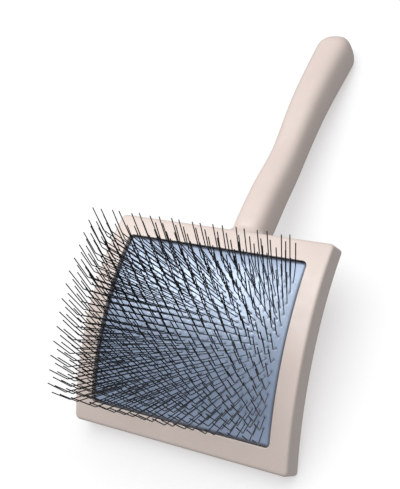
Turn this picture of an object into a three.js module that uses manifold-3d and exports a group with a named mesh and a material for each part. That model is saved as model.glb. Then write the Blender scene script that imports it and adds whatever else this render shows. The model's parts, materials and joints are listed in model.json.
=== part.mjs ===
// A long-pin slicker brush for taking mats out of a dog's coat.
// Millimetres, +Z up, +Y from the head towards the handle, +X across the head.
//
// The brush is drawn in the head's own frame, with the crown of the curved pin face at the
// origin and the pins along +Z. The whole group is then tilted and moved, so that it lies on
// its back on the plane z = 0, touching it with the toe of the head and the end of the handle.
// The part's origin is the middle of the bottom of the resting brush's box.
import * as THREE from 'three';
import { mergeVertices } from 'three/addons/utils/BufferGeometryUtils.js';
import Module from 'manifold-3d';

const wasm = await Module();
wasm.setup();

// ---------------------------------------------------------------- driving dimensions

const headWidth = 120;
const headDepth = 14.6;
const faceRadius = 138; // the pin face and the back are both arcs of this radius
const faceArc = 113.5; // length of the pin face along its arc
const cornerRadius = 2.5; // plan corners of the head

const sideBorder = 10; // face border beside the pad
const endBorder = 11.6; // face border beyond the pad, measured along the arc
const openingRadius = 2.6;
const lipThickness = 4; // border lip that holds the edge of the cushion
const ledge = 2.4; // how far the cushion reaches behind the lip

const padRecess = 1.9; // pad surface below the border
const rubberThickness = 1.8;
const canvasThickness = 1;
const crownSpace = 1.6; // room for the staple crowns between the canvas and the foam
const foamThickness = 2.4;
const plateThickness = 1;
const coverThickness = 2.6;
const gap = 0.3; // clearance between neighbouring pieces
const handleGap = 0.4; // clearance between the handle and the notch for it in the back cover

const wire = 0.6; // thickness of a pin
const slitInset = 1.6; // from the end of a row's slit to the edge of the opening
const slitWidth = 1.1;
const rowCount = 28;
const rowPitch = 2.61; // along the arc
const staplesPerRow = 10;
const staplePitch = 9.15;
const crownWidth = 3.7; // between the two pins of one staple
const rowShift = 1.3; // alternate rows are shifted by this much to each side
const crownHeight = 0.8;
const crownOverhang = 1; // the strip of crowns runs on past the outer pins by this much
const lowerLeg = 21; // pad surface to the knee of a pin
const upperLeg = 13.8; // knee to tip
const lowerLean = -0.06; // radians from the face normal, positive towards the handle
const lowerFan = 0.08; // added lean of the row next to the handle, and taken off at the toe
const upperLean = 0.44;
const lowerSplay = 0.36; // radians of outward lean at the pad's side edge
const upperSplay = 0.18;

const handleSide = 9.9; // the handle leaves the head to the right of its middle
const handlePath = [[38, -16], [58, -25.6], [80, -36], [103, -49], [140, -64.3], [190.6, -93.2]]; // y, z
const handleWidths = [17.6, 19, 18.8, 17.8, 19.4, 21, 22.2]; // at equal steps along the handle
const rootTaper = 24; // the handle grows to its full width over this length from its root
const rootShare = 0.35; // its width at the very root, hidden inside the head, as a share of full
const handleEndRound = 13; // length of the rounded end
const handleSquareness = 3; // exponent of the handle's superellipse section
const handleFlatness = 0.94; // depth of the section over its width
const handleTaper = 0.14; // share by which the section narrows to its top and widens below

const screwRows = [-38, 0, 38];
const screwInset = 3.9; // screw line from the side of the head
const screwHeadRadius = 2.3;
const screwHeadHeight = 1.3;
const screwRadius = 1.1;
const screwLength = 8;
const screwPoint = 1.5; // length of the pointed end
const recessWidth = 0.5; // of each bar of the cross in a screw's head
const recessDepth = 0.6;
const recessSpan = 2.5;

const arcSteps = 18; // facets along the head's curve
const handleRings = 20;
const handleEndRings = 5;
const handleSides = 24;
const screwSides = 10;
const margin = 2; // how far a cutting solid reaches past what it cuts

// ---------------------------------------------------------------- colours

const bodyPink = new THREE.MeshStandardMaterial({ color: 0xe3cfc3, roughness: 0.55, metalness: 0 });
const rubberBlue = new THREE.MeshStandardMaterial({ color: 0x8b98ad, roughness: 0.7, metalness: 0 });
const canvasGrey = new THREE.MeshStandardMaterial({ color: 0x6f7480, roughness: 0.95, metalness: 0 });
const foamCream = new THREE.MeshStandardMaterial({ color: 0xd8cfb4, roughness: 1, metalness: 0 });
const plateGrey = new THREE.MeshStandardMaterial({ color: 0x9a9da0, roughness: 0.5, metalness: 0.2 });
const pinSteel = new THREE.MeshStandardMaterial({ color: 0x55565c, roughness: 0.3, metalness: 1 });
const screwSteel = new THREE.MeshStandardMaterial({ color: 0xb4b6ba, roughness: 0.35, metalness: 1 });

// ---------------------------------------------------------------- sizes worked out from them

const halfFaceAngle = faceArc / 2 / faceRadius;
const headHalfLength = faceRadius * Math.sin(halfFaceAngle);
const endDrop = faceRadius * (1 - Math.cos(halfFaceAngle));
const openingWidth = headWidth - 2 * sideBorder;
const openingLength = 2 * faceRadius * Math.sin(halfFaceAngle - endBorder / faceRadius);
const pocketWidth = openingWidth + 2 * ledge;
const pocketLength = openingLength + 2 * ledge;
const cushionWidth = pocketWidth - 2 * gap;
const cushionLength = pocketLength - 2 * gap;

const canvasTop = lipThickness + gap;
const crownTop = canvasTop + canvasThickness + gap;
const foamTop = canvasTop + canvasThickness + crownSpace;
const plateTop = foamTop + foamThickness + gap;
const coverTop = headDepth - coverThickness;

// ---------------------------------------------------------------- solids

function toManifold(geometry) {
  const bare = new THREE.BufferGeometry();
  bare.setAttribute('position', geometry.getAttribute('position').clone());
  if (geometry.index) {
    bare.setIndex(geometry.index.clone());
  }
  const merged = mergeVertices(bare, 1e-4);
  const mesh = new wasm.Mesh({
    numProp: 3,
    vertProperties: Float32Array.from(merged.getAttribute('position').array),
    triVerts: Uint32Array.from(merged.index.array),
  });
  return new wasm.Manifold(mesh);
}

function toGeometry(solid) {
  const mesh = solid.getMesh();
  const geometry = new THREE.BufferGeometry();
  geometry.setAttribute('position', new THREE.BufferAttribute(Float32Array.from(mesh.vertProperties), 3));
  geometry.setIndex(new THREE.BufferAttribute(Uint32Array.from(mesh.triVerts), 1));
  geometry.computeVertexNormals();
  return geometry;
}

function roundedRectangle(width, length, radius) {
  const x = width / 2;
  const y = length / 2;
  const shape = new THREE.Shape();
  shape.moveTo(-x + radius, -y);
  shape.lineTo(x - radius, -y);
  shape.absarc(x - radius, -y + radius, radius, -Math.PI / 2, 0);
  shape.lineTo(x, y - radius);
  shape.absarc(x - radius, y - radius, radius, 0, Math.PI / 2);
  shape.lineTo(-x + radius, y);
  shape.absarc(-x + radius, y - radius, radius, Math.PI / 2, Math.PI);
  shape.lineTo(-x, -y + radius);
  shape.absarc(-x + radius, -y + radius, radius, Math.PI, 1.5 * Math.PI);
  return shape;
}

// An upright prism, tall enough to pass through the whole head.
function prism(width, length, radius) {
  const height = 2 * headDepth + 2 * endDrop;
  const options = { depth: height, bevelEnabled: false, curveSegments: 3 };
  const geometry = new THREE.ExtrudeGeometry(roundedRectangle(width, length, radius), options);
  return toManifold(geometry.translate(0, 0, -height / 2));
}

function dropAt(y) {
  return faceRadius - Math.sqrt(faceRadius ** 2 - y ** 2);
}

// The space between two copies of the face arc, one lowered by top and one by bottom.
function arcSlab(top, bottom) {
  const reach = headHalfLength + margin;
  const shape = new THREE.Shape();
  for (let i = 0; i <= arcSteps; i += 1) {
    const y = reach * (2 * i / arcSteps - 1);
    if (i === 0) {
      shape.moveTo(y, -dropAt(y) - top);
    } else {
      shape.lineTo(y, -dropAt(y) - top);
    }
  }
  for (let i = arcSteps; i >= 0; i -= 1) {
    const y = reach * (2 * i / arcSteps - 1);
    shape.lineTo(y, -dropAt(y) - bottom);
  }
  const width = headWidth + 2 * margin;
  const geometry = new THREE.ExtrudeGeometry(shape, { depth: width, bevelEnabled: false });
  geometry.rotateY(Math.PI / 2);
  geometry.rotateX(Math.PI / 2);
  return toManifold(geometry.translate(-width / 2, 0, 0));
}

function layer(width, length, radius, top, bottom) {
  return prism(width, length, radius).intersect(arcSlab(top, bottom));
}

// ---------------------------------------------------------------- handle

// A lathe's radii are spread along the handle's path, and each ring is squared a little.
function handleSolid(extra) {
  const path = new THREE.CatmullRomCurve3(
    handlePath.map(([y, z]) => new THREE.Vector3(handleSide, y, z)), false, 'centripetal');
  const length = path.getLength();
  const widths = new THREE.SplineCurve(
    handleWidths.map((width, i) => new THREE.Vector2(i / (handleWidths.length - 1), width / 2)));
  const straight = length - handleEndRound;
  const profile = [new THREE.Vector2(0, 0)];
  for (let i = 0; i <= handleRings; i += 1) {
    const share = i / handleRings;
    const grown = Math.sin(Math.PI / 2 * Math.min(share * straight / rootTaper, 1));
    const radius = widths.getPoint(share).y * (rootShare + (1 - rootShare) * grown);
    profile.push(new THREE.Vector2(radius + extra, share * straight));
  }
  for (let i = 1; i < handleEndRings; i += 1) {
    const angle = i / handleEndRings * Math.PI / 2;
    const radius = profile[handleRings + 1].x * Math.cos(angle);
    profile.push(new THREE.Vector2(radius, straight + (handleEndRound + extra) * Math.sin(angle)));
  }
  profile.push(new THREE.Vector2(0, length + extra));
  const geometry = new THREE.LatheGeometry(profile, handleSides);
  bendAlong(geometry, path, length);
  return toManifold(geometry);
}

function bendAlong(geometry, path, length) {
  const position = geometry.getAttribute('position');
  for (let i = 0; i < position.count; i += 1) {
    const across = position.getX(i);
    const along = position.getY(i);
    const deep = position.getZ(i);
    const angle = Math.atan2(deep, across);
    const square = (Math.abs(Math.cos(angle)) ** handleSquareness
      + Math.abs(Math.sin(angle)) ** handleSquareness) ** (-1 / handleSquareness);
    const share = Math.min(along / length, 1);
    const centre = path.getPointAt(share);
    const forward = path.getTangentAt(share);
    const up = new THREE.Vector3(0, -forward.z, forward.y);
    centre.addScaledVector(forward, Math.max(along - length, 0));
    const taper = 1 - handleTaper * square * Math.sin(angle);
    centre.addScaledVector(up, deep * square * handleFlatness);
    position.setXYZ(i, centre.x + across * square * taper, centre.y, centre.z);
  }
}

// ---------------------------------------------------------------- head

function screwPlaces() {
  const x = headWidth / 2 - screwInset;
  const places = [];
  for (const side of [-x, x]) {
    for (const y of screwRows) {
      places.push(new THREE.Vector3(side, y, -dropAt(y) - headDepth));
    }
  }
  return places;
}

function upright(radius, bottom, top, place) {
  const geometry = new THREE.CylinderGeometry(radius, radius, top - bottom, screwSides);
  geometry.rotateX(Math.PI / 2);
  geometry.translate(place.x, place.y, place.z + (top + bottom) / 2);
  return toManifold(geometry);
}

// The nose of the handle stays under the pocket, where it fills the notch in the back cover.
function frameAndHandle() {
  const opening = prism(openingWidth, openingLength, openingRadius);
  const pocket = layer(pocketWidth, pocketLength, openingRadius, lipThickness, coverTop - gap / 2);
  const holeDepth = screwHeadHeight + screwLength + gap;
  let moulding = layer(headWidth, 2 * headHalfLength, cornerRadius, 0, coverTop - gap);
  moulding = moulding.add(handleSolid(0));
  moulding = moulding.subtract(opening.intersect(arcSlab(-margin, lipThickness + margin)));
  moulding = moulding.subtract(pocket);
  for (const place of screwPlaces()) {
    moulding = moulding.subtract(upright(screwRadius + gap, 0, holeDepth, place));
  }
  return moulding;
}

function backCover() {
  let cover = layer(headWidth, 2 * headHalfLength, cornerRadius, coverTop, headDepth);
  cover = cover.subtract(handleSolid(handleGap));
  for (const place of screwPlaces()) {
    cover = cover.subtract(upright(screwRadius + gap, -margin, coverThickness + margin, place));
    cover = cover.subtract(upright(screwHeadRadius + gap, -margin, screwHeadHeight + gap, place));
  }
  return cover;
}

// A pan-head screw with its head down, and a cross recess in the head.
function coverScrew() {
  const length = screwHeadHeight + screwLength;
  const profile = [
    new THREE.Vector2(0, 0),
    new THREE.Vector2(screwHeadRadius * 0.7, 0),
    new THREE.Vector2(screwHeadRadius, screwHeadHeight * 0.5),
    new THREE.Vector2(screwHeadRadius, screwHeadHeight),
    new THREE.Vector2(screwRadius, screwHeadHeight),
    new THREE.Vector2(screwRadius, length - screwPoint),
    new THREE.Vector2(0, length),
  ];
  const turned = new THREE.LatheGeometry(profile, screwSides);
  turned.rotateX(Math.PI / 2);
  let screw = toManifold(turned);
  for (const [x, y] of [[recessSpan, recessWidth], [recessWidth, recessSpan]]) {
    screw = screw.subtract(toManifold(new THREE.BoxGeometry(x, y, 2 * recessDepth)));
  }
  return screw;
}

// ---------------------------------------------------------------- cushion and pins

function rowArc(row) {
  return (row - (rowCount - 1) / 2) * rowPitch;
}

// The origin of a row's own frame: on the face arc, with its lean from +Z and the leans of
// the lower and upper legs of its pins.
function rowFrame(row) {
  const lean = rowArc(row) / faceRadius;
  const fan = lowerFan * rowArc(row) / rowArc(rowCount - 1);
  return {
    y: faceRadius * Math.sin(lean),
    z: faceRadius * (Math.cos(lean) - 1),
    lean,
    lower: lean + lowerLean + fan,
    upper: lean + upperLean,
  };
}

// One slit for each row: it follows the pins' lean and clears the wire on both sides.
function slit(row) {
  const { y, z, lower } = rowFrame(row);
  const reach = crownTop + margin;
  const geometry = new THREE.BoxGeometry(openingWidth - 2 * slitInset, slitWidth, reach);
  geometry.rotateX(-lower);
  geometry.translate(0, y + reach / 2 * Math.sin(lower), z - crownTop + reach / 2 * Math.cos(lower));
  return toManifold(geometry);
}

function slittedLayer(width, length, top, bottom) {
  let pad = layer(width, length, openingRadius, top, bottom);
  for (let row = 0; row < rowCount; row += 1) {
    pad = pad.subtract(slit(row));
  }
  return pad;
}

function padRubber() {
  const bottom = padRecess + rubberThickness;
  return slittedLayer(openingWidth - 2 * gap, openingLength - 2 * gap, padRecess, bottom);
}

function padCanvas() {
  return slittedLayer(cushionWidth, cushionLength, canvasTop, canvasTop + canvasThickness);
}

function cushionLayer(top, thickness) {
  return layer(cushionWidth, cushionLength, openingRadius, top, top + thickness);
}

function pinPlaces(row) {
  const shift = row % 2 === 0 ? rowShift : -rowShift;
  const places = [];
  for (let staple = 0; staple < staplesPerRow; staple += 1) {
    const middle = (staple - (staplesPerRow - 1) / 2) * staplePitch + shift;
    places.push(middle - crownWidth / 2, middle + crownWidth / 2);
  }
  return places;
}

// A pin's root, knee and tip. It leans in its row's own plane and splays towards its side.
function pinPoints(x, row) {
  const frame = rowFrame(row);
  const edgeShare = x / (openingWidth / 2);
  const lower = new THREE.Vector3(Math.tan(lowerSplay * edgeShare), 0, 1);
  const upper = new THREE.Vector3(Math.tan(upperSplay * edgeShare), 0, 1);
  const acrossX = new THREE.Vector3(1, 0, 0);
  lower.applyAxisAngle(acrossX, -frame.lower);
  upper.applyAxisAngle(acrossX, -frame.upper);
  const root = new THREE.Vector3(x, frame.y, frame.z - crownTop - crownHeight / 2);
  const knee = root.clone().addScaledVector(lower, crownTop - padRecess + lowerLeg);
  const tip = knee.clone().addScaledVector(upper, upperLeg);
  return [root, knee, tip];
}

// A three-sided wire: each ring of the straight prism is moved to its point on the pin.
function pinWire(x, row) {
  const corners = [0, 1, 2].map((i) => {
    const angle = Math.PI / 2 + i * 2 * Math.PI / 3;
    return new THREE.Vector2(wire / 2 * Math.cos(angle), wire / 2 * Math.sin(angle));
  });
  const options = { depth: 2, steps: 2, bevelEnabled: false };
  const geometry = new THREE.ExtrudeGeometry(new THREE.Shape(corners), options);
  const points = pinPoints(x, row);
  const position = geometry.getAttribute('position');
  for (let i = 0; i < position.count; i += 1) {
    const centre = points[Math.round(position.getZ(i))];
    position.setXYZ(i, centre.x + position.getX(i), centre.y + position.getY(i), centre.z);
  }
  return toManifold(geometry);
}

// The staples of one row, with their crowns joined in one strip behind the canvas.
function pinRow(row) {
  const places = pinPlaces(row);
  const first = places[0];
  const last = places[places.length - 1];
  const { y, z, lean } = rowFrame(row);
  const strip = new THREE.BoxGeometry(last - first + 2 * crownOverhang, crownHeight, crownHeight);
  strip.rotateX(-lean);
  strip.translate((first + last) / 2, y, z - crownTop - crownHeight / 2);
  let solid = toManifold(strip);
  for (const x of places) {
    solid = solid.add(pinWire(x, row));
  }
  return toGeometry(solid);
}

// ---------------------------------------------------------------- assembly

const brush = new THREE.Group();

function addMesh(name, geometry, material) {
  const mesh = new THREE.Mesh(geometry, material);
  mesh.name = name;
  brush.add(mesh);
  return mesh;
}

const bodyGeometry = toGeometry(frameAndHandle());
addMesh('frame_and_handle', bodyGeometry, bodyPink);
addMesh('back_cover', toGeometry(backCover()), bodyPink);
addMesh('pad_rubber', toGeometry(padRubber()), rubberBlue);
addMesh('pad_canvas', toGeometry(padCanvas()), canvasGrey);
addMesh('foam_cushion', toGeometry(cushionLayer(foamTop, foamThickness)), foamCream);
addMesh('backing_plate', toGeometry(cushionLayer(plateTop, plateThickness)), plateGrey);

const screwGeometry = toGeometry(coverScrew());
screwPlaces().forEach((place, i) => {
  const screw = addMesh(`cover_screw_${i + 1}`, screwGeometry, screwSteel);
  screw.position.copy(place);
  screw.position.z += gap / 2;
});

for (let row = 0; row < rowCount; row += 1) {
  addMesh(`pin_row_${String(row + 1).padStart(2, '0')}`, pinRow(row), pinSteel);
}

// The brush lies on its toe edge and on the lowest side of the handle's end.
function restingTilt(geometry) {
  const toe = new THREE.Vector3(0, -headHalfLength, -endDrop - headDepth);
  const position = geometry.getAttribute('position');
  let lowest = Infinity;
  for (let i = 0; i < position.count; i += 1) {
    if (position.getY(i) > headHalfLength) {
      const slope = Math.atan2(position.getZ(i) - toe.z, position.getY(i) - toe.y);
      lowest = Math.min(lowest, slope);
    }
  }
  return -lowest;
}

brush.rotation.x = restingTilt(bodyGeometry);
const box = new THREE.Box3().setFromObject(brush, true);
const middle = box.getCenter(new THREE.Vector3());
brush.position.set(-middle.x, -middle.y, -box.min.z);

const group = new THREE.Group();
group.add(brush);

export default group;
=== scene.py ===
"""Looks for the long-pin slicker brush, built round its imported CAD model.

Shapes are drawn in millimetres in the head's own frame: the crown of the curved pin face is
the origin, the pins stand along +Z and the handle leaves towards +Y. HEAD_TO_ROW then takes
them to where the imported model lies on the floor, in metres.
"""
import json
import math

import bmesh
import bpy
import numpy as np
from mathutils import Matrix, Vector


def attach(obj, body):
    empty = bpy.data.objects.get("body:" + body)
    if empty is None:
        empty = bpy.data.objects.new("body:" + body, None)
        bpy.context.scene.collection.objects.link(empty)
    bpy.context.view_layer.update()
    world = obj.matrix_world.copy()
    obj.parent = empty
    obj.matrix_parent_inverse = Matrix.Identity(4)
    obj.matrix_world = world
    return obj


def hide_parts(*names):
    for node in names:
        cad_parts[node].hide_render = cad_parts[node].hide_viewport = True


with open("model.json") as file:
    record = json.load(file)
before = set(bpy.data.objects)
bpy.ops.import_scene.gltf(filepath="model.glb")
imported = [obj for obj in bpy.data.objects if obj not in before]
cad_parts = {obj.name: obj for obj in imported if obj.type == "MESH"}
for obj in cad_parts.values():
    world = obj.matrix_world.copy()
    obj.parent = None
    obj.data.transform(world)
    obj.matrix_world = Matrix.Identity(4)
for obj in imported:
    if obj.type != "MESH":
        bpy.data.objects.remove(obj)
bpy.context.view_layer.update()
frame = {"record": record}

MM = 0.001

# ---------------------------------------------------------------- driving dimensions, mm

HEAD_WIDTH = 120
HEAD_DEPTH = 14.6
FACE_RADIUS = 138  # of the curve that the pin face follows from toe to handle
FACE_ARC = 113.5  # the head's length along that curve
CORNER_RADIUS = 2.5
EDGE_ROUND = 1.5
SIDE_BORDER = 10
END_BORDER = 11.6
OPENING_RADIUS = 2.6
LIP_THICKNESS = 4
LIP_ROUND = 0.4
LEDGE = 2.4  # by which the pocket behind the lip is larger than the opening on each side
SEAM = 0.04
SEAM_CHAMFER = 0.04
SMALLEST_CORNER = 0.2

PAD_RECESS = 1.9  # of the pad's edge below the border
RUBBER_THICKNESS = 1.8
CANVAS_THICKNESS = 1
CROWN_SPACE = 1.6  # room behind the canvas for the staples' crowns
FOAM_THICKNESS = 2.4
PLATE_THICKNESS = 1
COVER_THICKNESS = 2.6
GAP = 0.3  # between layers, and round the cushion
HANDLE_GAP = 0.12  # between the handle's root and the cover

ROW_COUNT = 28
ROW_PITCH = 2.61
STAPLES_PER_ROW = 10
STAPLE_PITCH = 9.15
CROWN_WIDTH = 3.7
ROW_SHIFT = 1.3  # by which the rows are moved right and left in turn
CROWN_HEIGHT = 0.8
PIN_RADIUS = 0.27
WIRE_SIDES = 10
WIRE_END_BREAK = 0.35  # of the radius, taken off the edge of a cut end
LOWER_LEG = 21
UPPER_LEG = 13.8
LOWER_LEAN = -0.06  # radians towards the handle
LOWER_FAN = 0.08  # radians more in the row nearest the handle, and less in the toe's
UPPER_LEAN = 0.44
LOWER_SPLAY = 0.36  # radians outwards at the pad's sides
UPPER_SPLAY = 0.18
KNEE_ROUND = 1.2
CROWN_ROUND = 0.8
BEND_STEPS = 5
TOE_BEND = 0.15  # radians by which use has bent the pins of one toe corner towards the handle
PIN_SPREAD = 0.014  # radians by which the upper legs' directions vary
LOWER_SPREAD_SHARE = 0.5  # of it, in the lower legs
LENGTH_SPREAD = 0.12

HANDLE_SIDE = 9.9  # of the handle's middle line from the head's
# the middle line's y and z, and the widths at equal steps up to where the end is rounded
HANDLE_PATH = [(38, -16), (58, -25.6), (80, -36), (103, -49), (140, -64.3), (190.6, -93.2)]
HANDLE_WIDTHS = [17.6, 19, 18.8, 17.8, 19.4, 21, 22.2]
HANDLE_SIDES = 96
ROOT_TAPER = 24
ROOT_SHARE = 0.35
HANDLE_END_ROUND = 13
HANDLE_SQUARENESS = 3
HANDLE_FLATNESS = 0.94
HANDLE_TAPER = 0.14
JOINT_START = 8  # the stretch of the handle that meets the head's end wall
JOINT_END = 36
FLARE = 4
FLARE_FADE = (9, 3)  # inside the end wall, where the flare begins and is whole
FLARE_LIFT = 6  # above the head's back by which the flare is whole
FACE_GAP = 0.04  # kept between the handle's top and the face, with a soft approach
FACE_SOFTNESS = 0.8

SCREW_ROWS = (-38, 0, 38)  # along the head
SCREW_INSET = 3.9
SCREW_HEAD_RADIUS = 2.3
SCREW_HEAD_HEIGHT = 1.3
SCREW_RADIUS = 1.1
SCREW_LENGTH = 8
SCREW_POINT = 1.5
SCREW_PLAY = 0.12
THREAD_PITCH = 0.9
THREAD_DEPTH = 0.22
THREAD_STEPS = 8  # rings in one turn of the thread
THREAD_START = THREAD_PITCH / 3  # from the head to the thread's first ring

TOE_MOUNT_DEPTH = 6  # of the toe_rest mount below the face, on the end wall

# ---------------------------------------------------------------- sizes worked out from them

HALF_FACE_ANGLE = FACE_ARC / 2 / FACE_RADIUS
HEAD_HALF_LENGTH = FACE_RADIUS * math.sin(HALF_FACE_ANGLE)
END_DROP = FACE_RADIUS * (1 - math.cos(HALF_FACE_ANGLE))
CANVAS_TOP = LIP_THICKNESS + GAP
CROWN_TOP = CANVAS_TOP + CANVAS_THICKNESS + GAP
FOAM_TOP = CANVAS_TOP + CANVAS_THICKNESS + CROWN_SPACE
PLATE_TOP = FOAM_TOP + FOAM_THICKNESS + GAP
COVER_TOP = HEAD_DEPTH - COVER_THICKNESS
HEAD = (HEAD_WIDTH / 2, HEAD_HALF_LENGTH, CORNER_RADIUS)
OPENING = (
    HEAD_WIDTH / 2 - SIDE_BORDER,
    FACE_RADIUS * math.sin(HALF_FACE_ANGLE - END_BORDER / FACE_RADIUS),
    OPENING_RADIUS,
)
POCKET = (OPENING[0] + LEDGE, OPENING[1] + LEDGE, OPENING_RADIUS)
CUSHION = (POCKET[0] - GAP, POCKET[1] - GAP, OPENING_RADIUS)


def head_to_row():
    """The placing of the head's frame in the row frame, from the mount on the head's end wall."""
    mount = next(m for m in frame["record"]["mounts"] if m["name"] == "toe_rest")
    tilt = math.atan2(-mount["axis"][2], -mount["axis"][1])
    turn = Matrix.Rotation(tilt, 4, "X") @ Matrix.Scale(MM, 4)
    on_wall = turn @ Vector((0, -HEAD_HALF_LENGTH, -END_DROP - TOE_MOUNT_DEPTH))
    return Matrix.Translation(Vector(mount["pos_m"]) - on_wall) @ turn


HEAD_TO_ROW = head_to_row()


def drop_at(y):
    """How far the face arc lies below its crown. Past the head's end it runs on as its tangent."""
    inside = np.clip(y, -HEAD_HALF_LENGTH, HEAD_HALF_LENGTH)
    beyond = np.abs(y) - np.abs(inside)
    arc = FACE_RADIUS - np.sqrt(FACE_RADIUS**2 - inside**2)
    return arc + beyond * math.tan(HALF_FACE_ANGLE)


def smooth_step(value, start, end):
    share = np.clip((value - start) / (end - start), 0, 1)
    return share * share * (3 - 2 * share)


# ---------------------------------------------------------------- meshes and pieces

SHARP_ANGLE = 35  # degrees between faces past which their edge is shaded sharp
MOULDED_SHARP_ANGLE = 40
WIRE_SHARP_ANGLE = 60


class Shape:
    """Points and faces of one mesh, gathered part by part."""

    def __init__(self):
        self.points = []
        self.faces = []
        self.count = 0

    def add_points(self, points):
        start = self.count
        self.points.append(np.asarray(points, float).reshape(-1, 3))
        self.count += len(self.points[-1])
        return start

    def add_faces(self, faces):
        self.faces.extend(np.asarray(faces).tolist())

    def join_loops(self, starts, size):
        """Quads between closed loops of points that lie one after another."""
        here = np.arange(size)
        there = (here + 1) % size
        for a, b in zip(starts, starts[1:]):
            self.add_faces(np.stack([a + here, a + there, b + there, b + here], axis=1))

    def grid(self, points):
        """Quads over an array of points with two directions."""
        start = self.add_points(points)
        rows, columns = points.shape[:2]
        index = start + np.arange(rows * columns).reshape(rows, columns)
        corners = (index[:-1, :-1], index[1:, :-1], index[1:, 1:], index[:-1, 1:])
        self.add_faces(np.stack([c.ravel() for c in corners], axis=1))
        return index

    def mesh(self, name):
        mesh = bpy.data.meshes.new(name)
        mesh.from_pydata(np.concatenate(self.points), [], self.faces)
        work = bmesh.new()
        work.from_mesh(mesh)
        bmesh.ops.recalc_face_normals(work, faces=work.faces)
        work.to_mesh(mesh)
        work.free()
        return mesh


def add_object(name, mesh):
    thing = bpy.data.objects.new(name, mesh)
    bpy.context.scene.collection.objects.link(thing)
    return thing


def combine(target, cutter, operation):
    """The mesh of target joined with or cut by cutter. Both are used up."""
    base = add_object("boolean_base", target)
    tool = add_object("boolean_tool", cutter)
    modifier = base.modifiers.new("boolean", "BOOLEAN")
    modifier.operation = operation
    modifier.solver = "EXACT"
    modifier.object = tool
    graph = bpy.context.evaluated_depsgraph_get()
    result = bpy.data.meshes.new_from_object(base.evaluated_get(graph))
    bpy.data.objects.remove(base)
    bpy.data.objects.remove(tool)
    return result


def add_piece(name, mesh, material, nodes, sharp=SHARP_ANGLE):
    """One piece of the brush, from a mesh in the head's frame."""
    mesh.transform(HEAD_TO_ROW)
    mesh.materials.clear()
    mesh.materials.append(material)
    mesh.polygons.foreach_set("use_smooth", [True] * len(mesh.polygons))
    mesh.set_sharp_from_angle(angle=math.radians(sharp))
    piece = add_object(name, mesh)
    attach(piece, "root")
    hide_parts(*nodes)
    return piece


# ---------------------------------------------------------------- layers of the head

CORNER_STEPS = 6
EDGE_STEPS = 7
FACE_STEPS = 8
SLAB_STEPS = 4
SLAB_ROUNDING = (0.3, 0.3)
SHELL_CELL = 1.6  # mm between the shell's grid lines


def inset(outline, amount):
    half_x, half_y, radius = outline
    return half_x - amount, half_y - amount, max(radius - amount, SMALLEST_CORNER)


def grid_lines(half, radius, count):
    inner = half - radius
    corner = np.linspace(0, radius, CORNER_STEPS + 1)[1:]
    middle = np.linspace(-inner, inner, count + 1)
    return np.concatenate([-inner - corner[::-1], middle, inner + corner])


def plan_grid(outline, counts):
    """A grid over a rounded rectangle. Its corner cells are pulled in to a quarter disc."""
    half_x, half_y, radius = outline
    lines_x = grid_lines(half_x, radius, counts[0])
    lines_y = grid_lines(half_y, radius, counts[1])
    x, y = np.meshgrid(lines_x, lines_y, indexing="ij")
    a = np.clip((np.abs(x) - half_x + radius) / radius, 0, 1)
    b = np.clip((np.abs(y) - half_y + radius) / radius, 0, 1)
    round_x = half_x - radius + radius * a * np.sqrt(1 - b * b / 2)
    round_y = half_y - radius + radius * b * np.sqrt(1 - a * a / 2)
    x = np.where(a > 0, np.sign(x) * round_x, x)
    y = np.where(b > 0, np.sign(y) * round_y, y)
    return x, y


def rim(grid):
    """The outer loop of a grid, in order."""
    return np.concatenate([grid[:, 0], grid[-1, 1:], grid[-2::-1, -1], grid[0, -2:0:-1]])


def at_depth(x, y, depth):
    return np.stack([x, y, -drop_at(y) - depth], axis=-1)


def rim_at(outline, counts, depth):
    x, y = plan_grid(outline, counts)
    return at_depth(rim(x), rim(y), depth)


def cell_counts(outline, cell):
    return round(2 * outline[0] / cell), round(2 * outline[1] / cell)


def arc_steps(radius, steps, rising):
    """Insets and depths of a rounded edge, from the flat face to the wall, or back."""
    angles = np.linspace(90, 0, steps + 1) if rising else np.linspace(0, 90, steps + 1)
    angles = np.radians(angles)
    return list(zip(radius * (1 - np.cos(angles)), radius * (1 - np.sin(angles))))


def slab(outline, top, bottom, cell, rounding=SLAB_ROUNDING, relief=None, steps=SLAB_STEPS):
    """A closed plate between two depths below the face arc, with rounded edges."""
    counts = cell_counts(outline, cell)
    shape = Shape()
    top_round, bottom_round = rounding
    x, y = plan_grid(inset(outline, top_round), counts)
    surface = at_depth(x, y, top)
    if relief:
        surface[..., 2] += relief(x, y)
    upper = shape.grid(surface)
    loops = [rim(upper)]
    sides = [(i, top + d) for i, d in arc_steps(top_round, steps, True)][1:]
    sides += [(i, bottom - d) for i, d in arc_steps(bottom_round, steps, False)][:-1]
    size = len(loops[0])
    for amount, depth in sides:
        start = shape.add_points(rim_at(inset(outline, amount), counts, depth))
        loops.append(np.arange(start, start + size))
    x, y = plan_grid(inset(outline, bottom_round), counts)
    lower = shape.grid(at_depth(x, y, bottom))
    loops.append(rim(lower))
    for a, b in zip(loops, loops[1:]):
        shape.add_faces(np.stack([a, np.roll(a, -1), np.roll(b, -1), b], axis=1))
    return shape


# ---------------------------------------------------------------- handle

PATH_STEPS = 80  # between two points of HANDLE_PATH
ROOT_RING_GAP = 0.8  # mm between rings inside the head
JOINT_RING_GAP = 0.25  # mm between rings where the handle meets the end wall
GRIP_RINGS = 150
END_STEPS = 24
TANGENT_REACH = 0.5  # mm either side of a ring, between which its direction is taken


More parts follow.
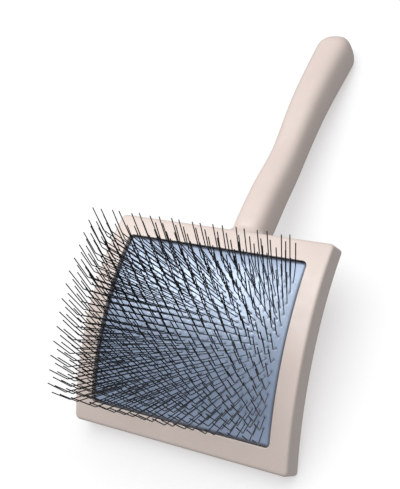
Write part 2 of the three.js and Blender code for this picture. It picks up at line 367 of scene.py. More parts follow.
def handle_path():
    """Points along the handle's middle line, with the distance of each from its start."""
    known = np.array(HANDLE_PATH, float)
    ends = (2 * known[0] - known[1], 2 * known[-1] - known[-2])
    known = np.vstack([ends[0], known, ends[1]])
    knots = np.cumsum(np.r_[0, np.sqrt(np.linalg.norm(np.diff(known, axis=0), axis=1))])
    curve = []
    for i in range(1, len(known) - 2):
        t = np.linspace(knots[i], knots[i + 1], PATH_STEPS, endpoint=False)[:, None]
        curve.append(centripetal(known[i - 1 : i + 3], knots[i - 1 : i + 3], t))
    curve = np.vstack(curve + [known[-2]])
    along = np.r_[0, np.cumsum(np.linalg.norm(np.diff(curve, axis=0), axis=1))]
    return along, curve


def centripetal(points, knots, t):
    """The middle stretch of a Catmull-Rom curve through four points."""

    def between(a, b, start, end):
        return ((end - t) * a + (t - start) * b) / (end - start)

    k0, k1, k2, k3 = knots
    a1 = between(points[0], points[1], k0, k1)
    a2 = between(points[1], points[2], k1, k2)
    a3 = between(points[2], points[3], k2, k3)
    b1 = between(a1, a2, k0, k2)
    b2 = between(a2, a3, k1, k3)
    return between(b1, b2, k1, k2)


def handle_half_width(share):
    """Half the handle's width at a share of its straight length, by a Catmull-Rom spline."""
    widths = np.array(HANDLE_WIDTHS, float) / 2
    place = np.clip(share, 0, 1) * (len(widths) - 1)
    start = np.minimum(place.astype(int), len(widths) - 2)
    t = place - start
    p0 = widths[np.maximum(start - 1, 0)]
    p1 = widths[start]
    p2 = widths[start + 1]
    p3 = widths[np.minimum(start + 2, len(widths) - 1)]
    slope_1 = (p2 - p0) / 2
    slope_2 = (p3 - p1) / 2
    bend = (2 * p1 - 2 * p2 + slope_1 + slope_2) * t + (-3 * p1 + 3 * p2 - 2 * slope_1 - slope_2)
    return (bend * t + slope_1) * t + p1


def handle_rings(extra):
    """Places along the handle and the radius at each, closely spaced where it joins the head."""
    along, curve = handle_path()
    length = along[-1]
    straight = length - HANDLE_END_ROUND
    places = np.concatenate([
        np.arange(0, JOINT_START, ROOT_RING_GAP),
        np.arange(JOINT_START, JOINT_END, JOINT_RING_GAP),
        np.linspace(JOINT_END, straight, GRIP_RINGS),
    ])
    share = places / straight
    grown = np.sin(math.pi / 2 * np.minimum(places / ROOT_TAPER, 1))
    radii = handle_half_width(share) * (ROOT_SHARE + (1 - ROOT_SHARE) * grown) + extra
    end_angles = np.radians(np.linspace(0, 90, END_STEPS + 1)[1:-1])
    places = np.r_[places, straight + (HANDLE_END_ROUND + extra) * np.sin(end_angles)]
    radii = np.r_[radii, radii[-1] * np.cos(end_angles)]
    return along, curve, places, radii


def handle_mesh(name, extra=0.0):
    """The handle as a closed loft of superellipse rings, grown by an extra thickness."""
    along, curve, places, radii = handle_rings(extra)

    def on_path(distance):
        return np.stack([np.interp(distance, along, curve[:, i]) for i in (0, 1)], axis=1)

    length = along[-1]
    inside = np.minimum(places, length)
    centre = on_path(inside)
    forward = on_path(inside + TANGENT_REACH) - on_path(inside - TANGENT_REACH)
    forward /= np.linalg.norm(forward, axis=1)[:, None]
    centre += forward * np.maximum(places - length, 0)[:, None]
    angle = np.arange(HANDLE_SIDES) * 2 * math.pi / HANDLE_SIDES
    n = HANDLE_SQUARENESS
    square = (np.abs(np.cos(angle)) ** n + np.abs(np.sin(angle)) ** n) ** (-1 / n)
    taper = 1 - HANDLE_TAPER * square * np.sin(angle)
    across = radii[:, None] * square * np.cos(angle) * taper
    deep = radii[:, None] * square * np.sin(angle) * HANDLE_FLATNESS
    x = HANDLE_SIDE + across
    y = centre[:, 0][:, None] - forward[:, 1][:, None] * deep
    z = centre[:, 1][:, None] + forward[:, 0][:, None] * deep
    points = flared(np.stack([x, y, z], axis=-1), square * np.cos(angle), square * np.sin(angle))
    shape = Shape()
    starts = [shape.add_points(ring) for ring in points]
    shape.join_loops(starts, HANDLE_SIDES)
    shape.add_faces([[starts[0] + i for i in range(HANDLE_SIDES)]])
    tip = centre[-1] + forward[-1] * (length + extra - places[-1])
    end = shape.add_points([(HANDLE_SIDE, tip[0], tip[1])])
    last = starts[-1] + np.arange(HANDLE_SIDES)
    shape.add_faces(np.stack([last, np.roll(last, -1), np.full(HANDLE_SIDES, end)], axis=1))
    return shape.mesh(name)


def flared(points, side, up):
    """Spreads the handle where it meets the head's end wall, and keeps it under the face."""
    x, y, z = np.moveaxis(points, -1, 0)
    reach = np.clip(1 - (y - HEAD_HALF_LENGTH) / FLARE, 0, 1)
    spread = FLARE * (1 - np.sqrt(1 - reach**2))
    spread = spread * smooth_step(y, HEAD_HALF_LENGTH - FLARE_FADE[0], HEAD_HALF_LENGTH - FLARE_FADE[1])
    back = -END_DROP - HEAD_DEPTH
    spread = spread * smooth_step(z, back, back + FLARE_LIFT)
    x = x + spread * side
    z = z + spread * np.maximum(up, 0)
    limit = -drop_at(y) - FACE_GAP
    z = limit - FACE_SOFTNESS * np.logaddexp(0, (limit - z) / FACE_SOFTNESS)
    return np.stack([x, y, z], axis=-1)


# ---------------------------------------------------------------- frame and cover

CUTTER_CELL = 4
CUTTER_ROUNDING = (0.02, 0.02)
CUTTER_HEIGHT = 6  # above the face
CUTTER_OVERLAP = 0.5
RING_SIDES = 48
RING_ANGLES = np.arange(RING_SIDES) * 2 * math.pi / RING_SIDES
RING_COS = np.cos(RING_ANGLES)
RING_SIN = np.sin(RING_ANGLES)


def head_ring():
    """The head's border: its curved face, both rounded edges, the lip and the pocket behind it."""
    counts = cell_counts(HEAD, SHELL_CELL)
    bottom = COVER_TOP - SEAM
    loops = [(HEAD, bottom - SEAM_CHAMFER)]
    loops += [(inset(HEAD, i), d) for i, d in arc_steps(EDGE_ROUND, EDGE_STEPS, False)]
    outer = np.array(inset(HEAD, EDGE_ROUND))
    inner = np.array(inset(OPENING, -LIP_ROUND))
    for share in np.linspace(0, 1, FACE_STEPS + 1)[1:-1]:
        loops.append((tuple(outer + (inner - outer) * share), 0))
    loops += [(inset(OPENING, -i), d) for i, d in arc_steps(LIP_ROUND, EDGE_STEPS, True)]
    loops.append((OPENING, LIP_THICKNESS))
    loops.append((POCKET, LIP_THICKNESS))
    loops.append((POCKET, bottom))
    loops.append((inset(HEAD, SEAM_CHAMFER), bottom))
    shape = Shape()
    starts = [shape.add_points(rim_at(outline, counts, depth)) for outline, depth in loops]
    shape.join_loops(starts + starts[:1], starts[1] - starts[0])
    return shape.mesh("head_ring")


def body_mesh():
    """The head's border and the handle as one moulding, with the screws' holes."""
    handle = handle_mesh("handle")
    opening = slab(OPENING, -CUTTER_HEIGHT, LIP_THICKNESS + CUTTER_OVERLAP, CUTTER_CELL)
    pocket = slab(POCKET, LIP_THICKNESS, COVER_TOP - GAP / 2, CUTTER_CELL, CUTTER_ROUNDING)
    handle = combine(handle, opening.mesh("opening"), "DIFFERENCE")
    handle = combine(handle, pocket.mesh("pocket"), "DIFFERENCE")
    body = combine(head_ring(), handle, "UNION")
    holes = screw_holes(SCREW_RADIUS + SCREW_PLAY, COVER_THICKNESS / 2, SCREW_HEAD_HEIGHT + SCREW_LENGTH)
    return combine(body, holes, "DIFFERENCE")


def screw_places():
    """The middle of each screw's head, level with the head's back."""
    x = HEAD_WIDTH / 2 - SCREW_INSET
    for side in (-x, x):
        for y in SCREW_ROWS:
            yield Vector((side, y, -float(drop_at(y)) - HEAD_DEPTH))


def screw_holes(radius, bottom, top):
    """Upright round cutters at all six screws, from below to above the head's back."""
    shape = Shape()
    for place in screw_places():
        turned(shape, [(0, bottom), (radius, bottom), (radius, top), (0, top)], place)
    return shape.mesh("screw_holes")


def turned(shape, profile, place):
    """Adds a closed solid about +Z: rings of radius and height between two points on the axis.

    A radius is one number, or one for each of the ring's sides.
    """
    starts = []
    for radius, height in profile[1:-1]:
        ring = np.stack([radius * RING_COS, radius * RING_SIN, np.full(RING_SIDES, height)], axis=1)
        starts.append(shape.add_points(ring + np.array(place)))
    shape.join_loops(starts, RING_SIDES)
    for start, (_, height) in ((starts[0], profile[0]), (starts[-1], profile[-1])):
        middle = shape.add_points([np.array(place) + (0, 0, height)])
        ring = start + np.arange(RING_SIDES)
        shape.add_faces(np.stack([ring, np.roll(ring, -1), np.full(RING_SIDES, middle)], axis=1))


def cover_mesh():
    """The back cover, notched for the handle's root and drilled for the sunk screws."""
    rounding = (SEAM_CHAMFER, EDGE_ROUND)
    cover = slab(HEAD, COVER_TOP, HEAD_DEPTH, SHELL_CELL, rounding, steps=EDGE_STEPS).mesh("cover")
    cover = combine(cover, handle_mesh("handle_notch", HANDLE_GAP), "DIFFERENCE")
    below = -COVER_THICKNESS
    shanks = screw_holes(SCREW_RADIUS + SCREW_PLAY, below, 2 * COVER_THICKNESS)
    heads = screw_holes(SCREW_HEAD_RADIUS + SCREW_PLAY, below, SCREW_HEAD_HEIGHT + SCREW_PLAY)
    cover = combine(cover, shanks, "DIFFERENCE")
    return combine(cover, heads, "DIFFERENCE")


# ---------------------------------------------------------------- screws

HEAD_CHAMFER = 0.1
DOME_START = 8  # degrees from the screw's axis to the dome's first ring
DOME_STEPS = 8
CROSS_SECTIONS = ((1.5, 0.36, -0.5), (1.35, 0.32, 0.1), (0.7, 0.22, 0.75))  # arm, half bar, height


def screw_mesh(place, turn):
    """A pan-head screw with its head down, a cross recess and a cut thread."""
    profile = [(0, 0)]
    for a in np.radians(np.linspace(DOME_START, 90, DOME_STEPS + 1)):
        profile.append((SCREW_HEAD_RADIUS * math.sin(a), SCREW_HEAD_HEIGHT * (1 - math.cos(a)) / 2))
    profile.append((SCREW_HEAD_RADIUS, SCREW_HEAD_HEIGHT - HEAD_CHAMFER))
    profile.append((SCREW_HEAD_RADIUS - HEAD_CHAMFER, SCREW_HEAD_HEIGHT))
    profile.append((SCREW_RADIUS, SCREW_HEAD_HEIGHT))
    end = SCREW_HEAD_HEIGHT + SCREW_LENGTH
    step = THREAD_PITCH / THREAD_STEPS
    for height in np.arange(SCREW_HEAD_HEIGHT + THREAD_START, end - step / 2, step):
        around = RING_ANGLES / 2 / math.pi
        groove = np.abs(((height / THREAD_PITCH - around) % 1) * 2 - 1)
        taper = min(1, (end - height) / SCREW_POINT)
        profile.append(((SCREW_RADIUS - THREAD_DEPTH * groove) * taper, height))
    profile.append((0, end))
    shape = Shape()
    turned(shape, profile, (0, 0, 0))
    screw = combine(shape.mesh("screw"), cross_mesh(), "DIFFERENCE")
    seat = place + Vector((0, 0, SCREW_PLAY))
    screw.transform(Matrix.Translation(seat) @ Matrix.Rotation(turn, 4, "Z"))
    return screw


def cross_mesh():
    """The cutter of a screw's cross recess: a cross that narrows with depth."""
    shape = Shape()
    starts = []
    for arm, bar, height in CROSS_SECTIONS:
        corner = [(arm, -bar), (arm, bar), (bar, bar)]
        ring = []
        for quarter in range(4):
            turn = Matrix.Rotation(quarter * math.pi / 2, 2)
            ring += [tuple(turn @ Vector(p)) + (height,) for p in corner]
        starts.append(shape.add_points(ring))
    shape.join_loops(starts, len(ring))
    for start in (starts[0], starts[-1]):
        shape.add_faces([[start + i for i in range(len(ring))]])
    return shape.mesh("cross")


# ---------------------------------------------------------------- pins

RANDOM_SEED = 7
random = np.random.default_rng(RANDOM_SEED)


def leaning(splay, angle):
    """A direction that rises by 1 at an angle of 0, leaning to the side and along the head."""
    return np.array([math.tan(splay), math.sin(angle), math.cos(angle)])


def pin_points(x, row):
    """A pin's root behind the canvas, its knee and its tip."""
    from_middle = row - (ROW_COUNT - 1) / 2
    lean = from_middle * ROW_PITCH / FACE_RADIUS
    row_share = from_middle * 2 / (ROW_COUNT - 1)
    share = x / OPENING[0]
    bend = LOWER_FAN * row_share + TOE_BEND * max(0, share) * max(0, -row_share)
    spread = random.normal(0, PIN_SPREAD, 4)
    low_side, low_along = spread[:2] * LOWER_SPREAD_SHARE
    high_side, high_along = spread[2:]
    lower = leaning(LOWER_SPLAY * share + low_side, lean + LOWER_LEAN + bend + low_along)
    upper = leaning(UPPER_SPLAY * share + high_side, lean + UPPER_LEAN + high_along)
    level = CROWN_TOP + CROWN_HEIGHT / 2
    root = np.array([x, FACE_RADIUS * math.sin(lean), FACE_RADIUS * (math.cos(lean) - 1) - level])
    knee = root + lower * (CROWN_TOP - PAD_RECESS + LOWER_LEG)
    tip = knee + upper * (UPPER_LEG + random.normal(0, LENGTH_SPREAD))
    return root, knee, tip


def staple_middles(row):
    shift = ROW_SHIFT if row % 2 == 0 else -ROW_SHIFT
    return (np.arange(STAPLES_PER_ROW) - (STAPLES_PER_ROW - 1) / 2) * STAPLE_PITCH + shift


def rounded_path(points, radii):
    """A chain of points with each inner corner replaced by a curve."""
    path = [points[0]]
    for before, corner, after, radius in zip(points, points[1:], points[2:], radii):
        to_start = (before - corner) / np.linalg.norm(before - corner)
        to_end = (after - corner) / np.linalg.norm(after - corner)
        half_turn = (math.pi - math.acos(float(np.clip(to_start @ to_end, -1, 1)))) / 2
        back = radius * math.tan(half_turn)
        start = corner + to_start * back
        end = corner + to_end * back
        for t in np.linspace(0, 1, BEND_STEPS + 1):
            path.append((1 - t) ** 2 * start + 2 * t * (1 - t) * corner + t * t * end)
    path.append(points[-1])
    return np.array(path)


def tube(shape, path, radius):
    """A round wire along a path, with slightly broken edges at its cut ends."""
    edge = radius * WIRE_END_BREAK
    first = path[0] + (path[1] - path[0]) / np.linalg.norm(path[1] - path[0]) * edge
    last = path[-1] + (path[-2] - path[-1]) / np.linalg.norm(path[-2] - path[-1]) * edge
    path = np.vstack([path[:1], first, path[1:-1], last, path[-1:]])
    radii = np.full(len(path), radius)
    radii[[0, -1]] = radius - edge
    tangent = np.gradient(path, axis=0)
    tangent /= np.linalg.norm(tangent, axis=1)[:, None]
    side = np.cross(tangent[0], (0, 1, 0))
    angle = np.arange(WIRE_SIDES) * 2 * math.pi / WIRE_SIDES
    starts = []
    for place, forward, size in zip(path, tangent, radii):
        side = side - (side @ forward) * forward
        side /= np.linalg.norm(side)
        up = np.cross(forward, side)
        ring = place + size * (np.cos(angle)[:, None] * side + np.sin(angle)[:, None] * up)
        starts.append(shape.add_points(ring))
    shape.join_loops(starts, WIRE_SIDES)
    for start in (starts[0], starts[-1]):
        shape.add_faces([[start + i for i in range(WIRE_SIDES)]])


def pin_row(row):
    """The staples of a row: each is one wire from tip to tip through its crown."""
    buried = CROWN_TOP - PAD_RECESS
    share = buried / (buried + LOWER_LEG)
    shape = Shape()
    pierced = []
    for middle in staple_middles(row):
        left = pin_points(middle - CROWN_WIDTH / 2, row)
        right = pin_points(middle + CROWN_WIDTH / 2, row)
        for root, knee, _ in (left, right):
            pierced.append(root + (knee - root) * share)
        chain = [*left[::-1], *right]
        radii = (KNEE_ROUND, CROWN_ROUND, CROWN_ROUND, KNEE_ROUND)
        tube(shape, rounded_path(chain, radii), PIN_RADIUS)
    return shape, pierced


# ---------------------------------------------------------------- materials

FOAM_CELL = 0.7  # mm
WEAVE_SCALE = 420.0
MIX_FIRST = 6  # a mix node's inputs for colours, and its output for them
MIX_SECOND = 7
MIX_RESULT = 2


class Shader:
    """Builds a material's nodes in few words: an input takes a value or another node's output."""

    def __init__(self, name):
        self.material = bpy.data.materials.new(name)
        self.material.use_nodes = True
        self.tree = self.material.node_tree
        self.surface = self.tree.nodes["Principled BSDF"]
        self.place = self.node("ShaderNodeTexCoord").outputs["Object"]

    def node(self, kind, settings=None, **inputs):
        node = self.tree.nodes.new(kind)
        for key, value in (settings or {}).items():
            setattr(node, key, value)
        for key, value in inputs.items():
            self.connect(node.inputs[key.replace("_", " ")], value)
        return node

    def connect(self, socket, value):
        if isinstance(value, bpy.types.NodeSocket):
            self.tree.links.new(value, socket)
        else:
            socket.default_value = value

    def noise(self, size, detail=3.0, stretch=(1, 1, 1)):
        """Noise with features of a size in millimetres."""
        scaled = self.node("ShaderNodeMapping", Vector=self.place, Scale=stretch).outputs["Vector"]
        scale = 1 / (size * MM)
        return self.node("ShaderNodeTexNoise", Vector=scaled, Scale=scale, Detail=detail).outputs["Fac"]

    def ramp(self, value, low, high, start=0.3, end=0.7):
        """Maps the range start to end of a value onto low to high."""
        node = self.node("ShaderNodeMapRange", Value=value)
        for key, number in (("From Min", start), ("From Max", end), ("To Min", low), ("To Max", high)):
            node.inputs[key].default_value = number
        return node.outputs["Result"]

    def mix(self, factor, first, second):
        node = self.node("ShaderNodeMix", {"data_type": "RGBA"})
        self.connect(node.inputs["Factor"], factor)
        self.connect(node.inputs[MIX_FIRST], first)
        self.connect(node.inputs[MIX_SECOND], second)
        return node.outputs[MIX_RESULT]

    def bump(self, height, distance, strength=1.0, normal=None):
        """Bump whose full height is a distance in millimetres."""
        node = self.node("ShaderNodeBump", Height=height, Distance=distance * MM, Strength=strength)
        if normal:
            self.connect(node.inputs["Normal"], normal)
        return node.outputs["Normal"]

    def pointiness(self):
        return self.node("ShaderNodeNewGeometry").outputs["Pointiness"]

    def finish(self, **inputs):
        for key, value in inputs.items():
            self.connect(self.surface.inputs[key.replace("_", " ")], value)
        return self.material


def moulded_plastic():
    """Satin pale pink plastic: slight mottle, fine grain, paler on convex edges, darker brown in concave
    creases.
    """
    pink = (0.625, 0.53, 0.485, 1)
    dull_pink = (0.59, 0.50, 0.455, 1)
    pale_edge_pink = (0.68, 0.605, 0.56, 1)
    brown = (0.42, 0.34, 0.30, 1)
    s = Shader("moulded_pink_plastic")
    mottle = s.mix(s.ramp(s.noise(30), 0, 1), pink, dull_pink)
    # paler on convex edges, by pointiness
    convex_paleness = s.ramp(s.pointiness(), 0, 0.55, 0.505, 0.56)
    colour = s.mix(convex_paleness, mottle, pale_edge_pink)
    # darker brown in concave creases, by pointiness
    crease_darkness = s.ramp(s.pointiness(), 0.35, 0, 0.44, 0.495)
    colour = s.mix(crease_darkness, colour, brown)
    waves = s.bump(s.noise(9, 1), 0.05, 0.5)
    grain = s.bump(s.noise(0.35, 2), 0.012, 0.6, waves)
    rough = s.ramp(s.noise(6, 4), 0.34, 0.46)
    return s.finish(Base_Color=colour, Roughness=rough, Normal=grain, Subsurface_Weight=0.06,
                    Subsurface_Radius=(0.002, 0.0012, 0.0009), IOR=1.56)


def cushion_rubber():
    """Blue-grey rubber with a soft sheen, dusty patches, darker round the pins, and painted shade along
    the edge.
    """
    blue_grey = (0.258, 0.327, 0.469, 1)
    dark_blue_grey = (0.219, 0.279, 0.406, 1)
    dust = (0.325, 0.379, 0.482, 1)
    pin_dark_and_edge_shade = (0.07, 0.08, 0.105, 1)
    s = Shader("cushion_rubber")
    base = s.mix(s.ramp(s.noise(14), 0, 1), blue_grey, dark_blue_grey)
    base = s.mix(s.ramp(s.noise(0.8, 4), 0, 0.25), base, dust)
    shade = s.node("ShaderNodeAttribute", {"attribute_name": "shade"}).outputs["Fac"]
    # painted shade along the pad's edge, and darker round each pin's dimple
    colour = s.mix(s.ramp(shade, 0, 0.8, 0, 1), base, pin_dark_and_edge_shade)
    grain = s.bump(s.noise(0.5, 4), 0.03, 0.7)
    rough = s.ramp(s.noise(5, 4), 0.30, 0.42)
    return s.finish(Base_Color=colour, Roughness=rough, Normal=grain, IOR=2.2,
                    Specular_Tint=(0.76, 0.87, 1, 1))


def canvas_cloth():
    """Grey plain-weave cotton backing."""
    grey = (0.30, 0.31, 0.33, 1)
    dark_grey = (0.22, 0.23, 0.25, 1)
    between_threads = (0.10, 0.10, 0.11, 1)
    s = Shader("canvas_cloth")
    threads = []
    for direction in ("X", "Y"):
        wave = s.node("ShaderNodeTexWave", {"bands_direction": direction}, Vector=s.place,
                      Scale=WEAVE_SCALE, Distortion=0.6, Detail=2.0)
        threads.append(wave.outputs["Fac"])
    weave = s.node("ShaderNodeMath", {"operation": "MAXIMUM"})
    s.connect(weave.inputs[0], threads[0])
    s.connect(weave.inputs[1], threads[1])
    height = weave.outputs["Value"]
    tone = s.mix(s.ramp(s.noise(7), 0, 1), grey, dark_grey)
    colour = s.mix(s.ramp(height, 0.6, 0, 0.2, 0.8), tone, between_threads)
    return s.finish(Base_Color=colour, Roughness=s.ramp(s.noise(2), 0.85, 0.98),
                    Normal=s.bump(height, 0.12), Sheen_Weight=0.2)


def cushion_foam():
    """Cream open-cell foam."""
    cream = (0.74, 0.66, 0.47, 1)
    aged_cream = (0.64, 0.55, 0.36, 1)
    cell_shadow = (0.35, 0.28, 0.17, 1)
    s = Shader("cushion_foam")
    cell_scale = 1 / (FOAM_CELL * MM)
    cells = s.node("ShaderNodeTexVoronoi", Vector=s.place, Scale=cell_scale).outputs["Distance"]
    tone = s.mix(s.ramp(s.noise(12), 0, 1), cream, aged_cream)
    colour = s.mix(s.ramp(cells, 0.5, 0, 0, 0.5), tone, cell_shadow)
    return s.finish(Base_Color=colour, Roughness=s.ramp(s.noise(3), 0.9, 1.0),
                    Normal=s.bump(cells, 0.25))


def backing_plastic():
    """Grey rolled plate with fine scratches."""
    grey = (0.34, 0.35, 0.36, 1)
    dark_grey = (0.26, 0.27, 0.28, 1)
    s = Shader("backing_plate_grey")
    streaks = s.noise(0.6, 4, (1, 0.03, 1))
    colour = s.mix(s.ramp(streaks, 0, 1), grey, dark_grey)
    return s.finish(Base_Color=colour, Roughness=s.ramp(streaks, 0.38, 0.58),
                    Normal=s.bump(streaks, 0.02))


def pin_steel():
    """Dark drawn steel wire with fine draw marks and brighter rubbed spots."""
    dark = (0.024, 0.023, 0.023, 1)
    darker = (0.010, 0.010, 0.010, 1)
    rubbed = (0.12, 0.115, 0.11, 1)
    s = Shader("pin_steel")
    marks = s.noise(0.25, 3, (1, 1, 0.08))
    tone = s.mix(s.ramp(s.noise(3), 0, 1), dark, darker)
    colour = s.mix(s.ramp(marks, 0, 0.4), tone, rubbed)
    rough = s.ramp(s.noise(1.2), 0.24, 0.42)
    return s.finish(Base_Color=colour, Metallic=1.0, Roughness=rough, Normal=s.bump(marks, 0.008),
                    Coat_Weight=0.35, Coat_Roughness=0.08)


def screw_steel():
    """Bright zinc-plated steel."""
    bright = (0.60, 0.60, 0.59, 1)
    stained = (0.44, 0.44, 0.45, 1)
    s = Shader("screw_steel")
    stain = s.noise(0.9, 4)
    colour = s.mix(s.ramp(stain, 0, 1), bright, stained)
    return s.finish(Base_Color=colour, Metallic=1.0, Roughness=s.ramp(stain, 0.22, 0.42),
                    Normal=s.bump(s.noise(0.3), 0.01))


# ---------------------------------------------------------------- the brush

PAD_CELL = 0.48
PAD_CROWN = 1.3
PAD_FULLNESS = 6  # the higher, the flatter the middle of the pad
PAD_ROUND = 1.5
PAD_UNDER_ROUND = 0.2
EDGE_SHADE = (0.9, 2.2)  # mm from the pad's edge over which its painted shade fades
DIMPLE_REACH = 1.0
DIMPLE_DEPTH = 0.22
LAYER_CELL = 1.2
PLATE_CELL = 2
CANVAS_ROUNDING = (0.25, 0.25)
FOAM_ROUNDING = (0.9, 0.9)
PLATE_ROUNDING = (0.2, 0.2)
RIPPLE_PITCH = (0.9, 1.1)  # radians a mm, across and along
CANVAS_RIPPLE = 0.06
FOAM_RIPPLE = 0.1


def build_shell(plastic):
    add_piece("frame_and_handle_moulding", body_mesh(), plastic, ["frame_and_handle"],
              MOULDED_SHARP_ANGLE)
    add_piece("back_cover_moulding", cover_mesh(), plastic, ["back_cover"],
              MOULDED_SHARP_ANGLE)


def build_screws(steel):
    for i, place in enumerate(screw_places()):
        turn = random.uniform(0, math.pi / 2)
        mesh = screw_mesh(place, turn)
        add_piece(f"cover_screw_cross_{i + 1}", mesh, steel, [f"cover_screw_{i + 1}"])


def build_pins(steel):
    """Builds all rows and returns them, with where each pin passes through the pad's surface."""
    rows = []
    pierced = []
    for row in range(ROW_COUNT):
        shape, places = pin_row(row)
        node = f"pin_row_{row + 1:02d}"
        wires = shape.mesh(node + "_wires")
        name = f"staples_{row + 1:02d}"
        rows.append(add_piece(name, wires, steel, [node], WIRE_SHARP_ANGLE))
        pierced += places
    return rows, np.array(pierced)


def dimples(x, y, pierced):
    """How deep each point lies in a pin's dimple, from 0 to 1."""
    deepest = np.zeros(x.shape)
    for place in pierced:
        near_squared = ((x - place[0]) ** 2 + (y - place[1]) ** 2) / DIMPLE_REACH**2
        deepest = np.maximum(deepest, np.clip(1 - near_squared, 0, 1) ** 2)
    return deepest


def build_rubber(rubber, pierced):
    """The cushion's rubber face: slightly crowned, with a dimple round each pin."""
    outline = inset(OPENING, GAP / 2)

    def relief(x, y):
        crown = (1 - (x / outline[0]) ** PAD_FULLNESS) * (1 - (y / outline[1]) ** PAD_FULLNESS)
        return PAD_CROWN * crown - DIMPLE_DEPTH * dimples(x, y, pierced)

    bottom = PAD_RECESS + RUBBER_THICKNESS
    shape = slab(outline, PAD_RECESS, bottom, PAD_CELL, (PAD_ROUND, PAD_UNDER_ROUND), relief)
    mesh = shape.mesh("pad_rubber_face")
    points = np.concatenate(shape.points)
    x, y = points[:, 0], points[:, 1]
    from_edge = np.minimum(outline[0] - np.abs(x), outline[1] - np.abs(y))
    # the shade attribute: painted shade along the pad's edge, and darker round each pin's dimple
    shade = np.maximum(dimples(x, y, pierced), 1 - smooth_step(from_edge, *EDGE_SHADE))
    mesh.attributes.new("shade", "FLOAT", "POINT").data.foreach_set("value", shade)
    add_piece("pad_rubber_face", mesh, rubber, ["pad_rubber"])


def build_inner_layers(cloth, foam, plate):
    """The canvas and the foam, both slightly uneven, and the plate behind them."""

    def ripple(size):
        return lambda x, y: size * np.sin(x * RIPPLE_PITCH[0]) * np.sin(y * RIPPLE_PITCH[1])

    bottom = CANVAS_TOP + CANVAS_THICKNESS
    canvas = slab(CUSHION, CANVAS_TOP, bottom, LAYER_CELL, CANVAS_ROUNDING, ripple(CANVAS_RIPPLE))
    add_piece("pad_canvas_sheet", canvas.mesh("canvas"), cloth, ["pad_canvas"])
    bottom = FOAM_TOP + FOAM_THICKNESS
    cushion = slab(CUSHION, FOAM_TOP, bottom, LAYER_CELL, FOAM_ROUNDING, ripple(FOAM_RIPPLE))
    add_piece("foam_cushion_sheet", cushion.mesh("foam"), foam, ["foam_cushion"])
    back = slab(CUSHION, PLATE_TOP, PLATE_TOP + PLATE_THICKNESS, PLATE_CELL, PLATE_ROUNDING)
    add_piece("backing_plate_sheet", back.mesh("plate"), plate, ["backing_plate"])


# ---------------------------------------------------------------- stage, light and camera

CAMERA_PLACE = Vector((193.4, -8.4, 372.3))  # this and the targets: mm in the head's frame
CAMERA_TARGET = Vector((-13.8, 46.0, -18.3))
CAMERA_UP = Vector((-0.136, 0.969, 0.207))
CAMERA_LENS = 63.4
LIGHT_TARGET = Vector((0, 40, -20))
LIGHT_DISTANCE = 1.0  # m
TOP_DIRECTION = (0.05, 0.4, 0.92)
TOP_SIZE = 1.1
TOP_POWER = 5.7
KEY_DIRECTION = (-0.46, 0.42, 0.8)
KEY_SIZE = 0.5
KEY_POWER = 6.5
WORLD_COLOUR = (0.97, 0.98, 1, 1)
WORLD_STRENGTH = 0.42
BACKDROP_STRENGTH = 0.72  # what the camera sees past the floor's edge
FLOOR_GLOW = 0.32
FLOOR_REACH = 2.4  # m
FLOOR_LINES = 9


def look(thing, place, target, up):
    """Stands a camera or light at a place in the row frame, looking at a target."""
    back = (place - target).normalized()
    right = up.cross(back).normalized()
    turn = Matrix((right, back.cross(right), back)).transposed()
    thing.matrix_world = Matrix.Translation(place) @ turn.to_4x4()


def pale_paper():
    """Near-white studio paper with a faint glow, so that it renders as white."""
    white = (0.93, 0.93, 0.935, 1)
    off_white = (0.92, 0.92, 0.925, 1)
    s = Shader("pale_floor")
    tone = s.mix(s.ramp(s.noise(60), 0, 1), white, off_white)
    return s.finish(Base_Color=tone, Roughness=s.ramp(s.noise(4), 0.8, 0.9),
                    Emission_Color=(1, 1, 1, 1), Emission_Strength=FLOOR_GLOW)


def build_stage():
    """A pale floor that only the camera sees, so that it doesn't tint the brush from below."""
    shape = Shape()
    steps = np.linspace(-FLOOR_REACH, FLOOR_REACH, FLOOR_LINES)
    x, y = np.meshgrid(steps, steps, indexing="ij")
    shape.grid(np.stack([x, y, np.zeros_like(x)], axis=-1))
    floor = add_object("floor", shape.mesh("floor"))
    floor.data.materials.append(pale_paper())
    floor.visible_diffuse = False
    floor.visible_glossy = False
    return floor


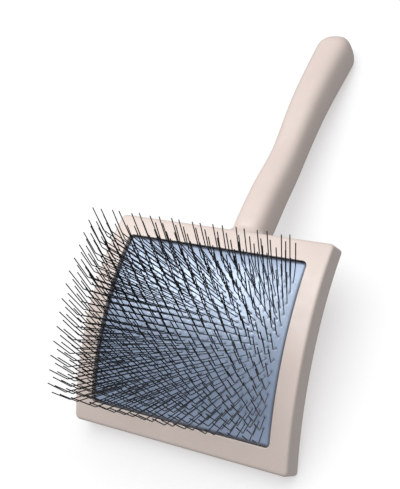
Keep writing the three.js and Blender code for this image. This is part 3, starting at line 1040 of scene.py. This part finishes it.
def area_light(name, direction, size, power):
    """A square soft light, LIGHT_DISTANCE from the head in a direction of the head's frame."""
    light = bpy.data.lights.new(name, "AREA")
    light.shape = "SQUARE"
    light.size = size
    light.energy = power
    lamp = bpy.data.objects.new(name, light)
    bpy.context.scene.collection.objects.link(lamp)
    target = HEAD_TO_ROW @ LIGHT_TARGET
    turn = HEAD_TO_ROW.to_3x3().normalized()
    place = target + (turn @ Vector(direction)).normalized() * LIGHT_DISTANCE
    look(lamp, place, target, Vector((0, 0, 1)))
    return lamp


def exempt(name, things):
    """A collection that leaves some things out of what a light reaches, or of what blocks it."""
    exempted = bpy.data.collections.new(name)
    for thing in things:
        exempted.objects.link(thing)
    for member in exempted.collection_objects:
        member.light_linking.link_state = "EXCLUDE"
    return exempted


def build_light(floor, pins):
    """A soft light from above, a key light from the left and an even world."""
    world = bpy.data.worlds.new("studio")
    bpy.context.scene.world = world
    world.use_nodes = True
    tree = world.node_tree
    seen = tree.nodes.new("ShaderNodeLightPath").outputs["Is Camera Ray"]
    strength = tree.nodes.new("ShaderNodeMapRange")
    strength.inputs["To Min"].default_value = WORLD_STRENGTH
    strength.inputs["To Max"].default_value = BACKDROP_STRENGTH
    tree.links.new(seen, strength.inputs["Value"])
    background = tree.nodes["Background"].inputs
    background["Color"].default_value = WORLD_COLOUR
    tree.links.new(strength.outputs["Result"], background["Strength"])
    area_light("overhead", TOP_DIRECTION, TOP_SIZE, TOP_POWER)
    key = area_light("key", KEY_DIRECTION, KEY_SIZE, KEY_POWER)
    key.light_linking.receiver_collection = exempt("unlit_by_key", [floor])
    key.light_linking.blocker_collection = exempt("clear_to_key", pins)
    bpy.context.scene.view_settings.view_transform = "Standard"


def build_camera():
    """The camera stands above the head and to its right."""
    data = bpy.data.cameras.new("camera")
    data.lens = CAMERA_LENS
    camera = bpy.data.objects.new("camera", data)
    bpy.context.scene.collection.objects.link(camera)
    up = HEAD_TO_ROW.to_3x3() @ CAMERA_UP
    look(camera, HEAD_TO_ROW @ CAMERA_PLACE, HEAD_TO_ROW @ CAMERA_TARGET, up)
    bpy.context.scene.camera = camera


build_shell(moulded_plastic())
pin_rows, pierced_places = build_pins(pin_steel())
build_rubber(cushion_rubber(), pierced_places)
build_inner_layers(canvas_cloth(), cushion_foam(), backing_plastic())
build_screws(screw_steel())
build_light(build_stage(), pin_rows)
build_camera()
